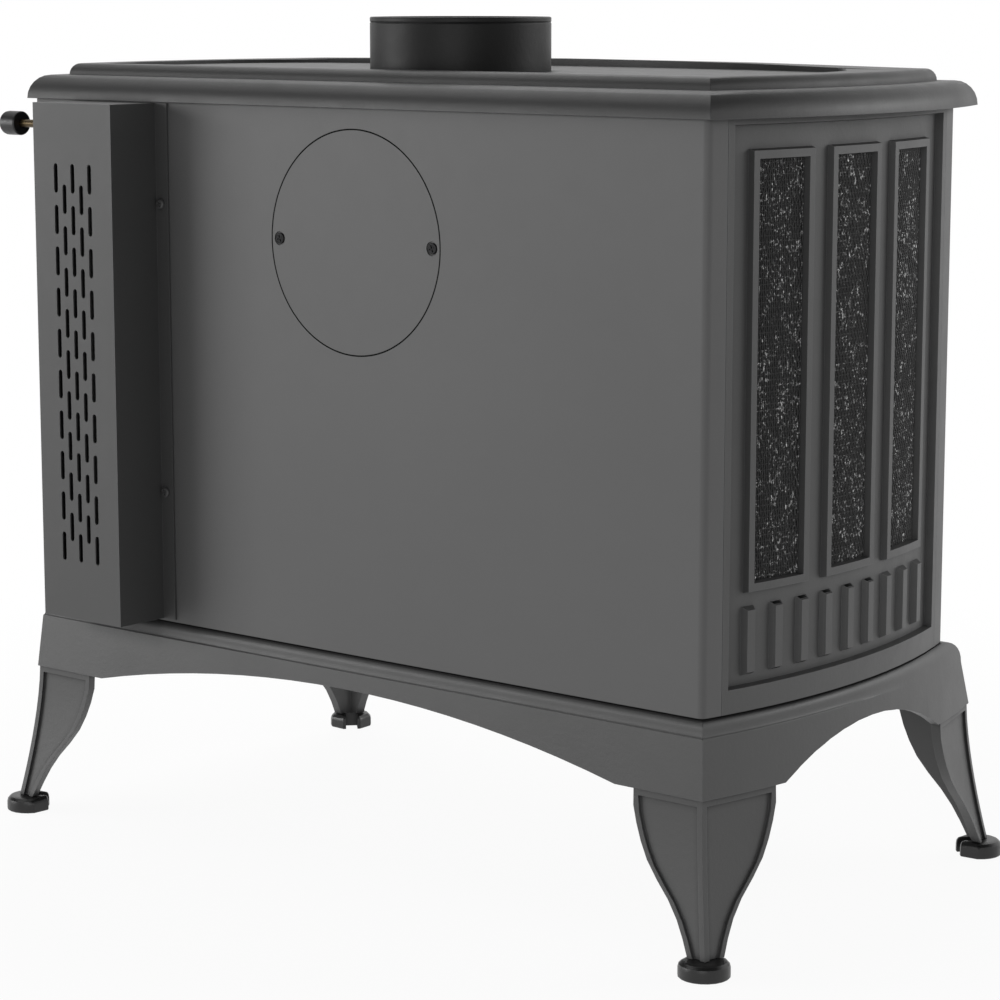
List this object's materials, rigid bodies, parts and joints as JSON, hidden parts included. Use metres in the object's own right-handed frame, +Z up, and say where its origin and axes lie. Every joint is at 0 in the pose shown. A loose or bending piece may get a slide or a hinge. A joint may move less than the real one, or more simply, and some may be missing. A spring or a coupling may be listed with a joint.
{
  "type": "wood stove",
  "caption": "Freestanding cast iron wood stove: bowed sides with screens and louvres, curved legs, top flue collar, slotted rear air box with push-pull control, hinged glass door.",
  "frame": {"origin": "middle of the whole footprint, on the floor", "axes": "+X towards the side with the air box, as seen from the front the right; +Y towards the rear panel; +Z up; the door faces -Y"},
  "size_m": [0.8034, 0.4842, 0.7193],
  "materials": {
    "cast": "matte dark graphite",
    "panel": "matte dark grey sheet",
    "collar": "matte near black",
    "foot": "semi-gloss black",
    "mesh": "dark woven screen",
    "knob": "satin black",
    "brass": "worn satin",
    "steel": "dull grey",
    "screw": "black oxide",
    "tube": "dull stainless",
    "brick": "matte firebrick",
    "baffle": "matte fibre board",
    "gasket": "woven rope",
    "glass": "clear ceramic glass",
    "grip": "black stained"
  },
  "bodies": {
    "stove": {"air_duct": "steel", "air_rod_bracket": "steel", "air_rod_bush": "brass", "air_tube_1": "tube", "air_tube_2": "tube", "air_tube_3": "tube", "ash_lip": "cast", "baffle": "baffle", "base": "cast", "brick_floor": "brick", "brick_left": "brick", "brick_rear": "brick", "brick_right": "brick", "cover_screw_1": "screw", "cover_screw_2": "screw", "ember_guard": "cast", "firebox": "steel", "flue_collar": "collar", "foot_front_left": "foot", "foot_front_right": "foot", "foot_rear_left": "foot", "foot_rear_right": "foot", "front_casting": "cast", "hinge_pin_1": "steel", "hinge_pin_2": "steel", "leg_front_left": "cast", "leg_front_right": "cast", "leg_rear_left": "cast", "leg_rear_right": "cast", "rear_cover_ring": "steel", "rear_flue_cover": "panel", "rear_panel": "panel", "side_casting_left": "cast", "side_casting_right": "cast", "top_plate": "cast", "vent_box": "panel", "vent_box_screw_1": "screw", "vent_box_screw_2": "screw", "window_mesh_left_front": "mesh", "window_mesh_left_middle": "mesh", "window_mesh_left_rear": "mesh", "window_mesh_right_front": "mesh", "window_mesh_right_middle": "mesh", "window_mesh_right_rear": "mesh"},
    "air_control": {"air_rod": "brass", "air_knob": "knob", "air_damper": "steel"},
    "door": {"door_frame": "cast", "door_gasket": "gasket", "glass_gasket": "gasket", "door_glass": "glass", "glass_clip_lower": "steel", "glass_clip_upper": "steel", "handle_bush": "brass"},
    "door_handle": {"door_handle": "steel", "latch_cam": "steel", "handle_grip": "grip"}
  },
  "joints": [
    {"name": "air_slide", "type": "slide", "parent": "stove", "child": "air_control", "axis": [1, 0, 0], "range_m": [0, 0.036]},
    {"name": "door_hinge", "type": "hinge", "parent": "stove", "child": "door", "pos_m": [-0.254, -0.17995, 0.403], "axis": [0, 0, 1], "range_deg": [-110, 0]},
    {"name": "handle_turn", "type": "hinge", "parent": "door", "child": "door_handle", "pos_m": [0.206, -0.18195, 0.4143], "axis": [0, 1, 0], "range_deg": [0, 85]}
  ]
}
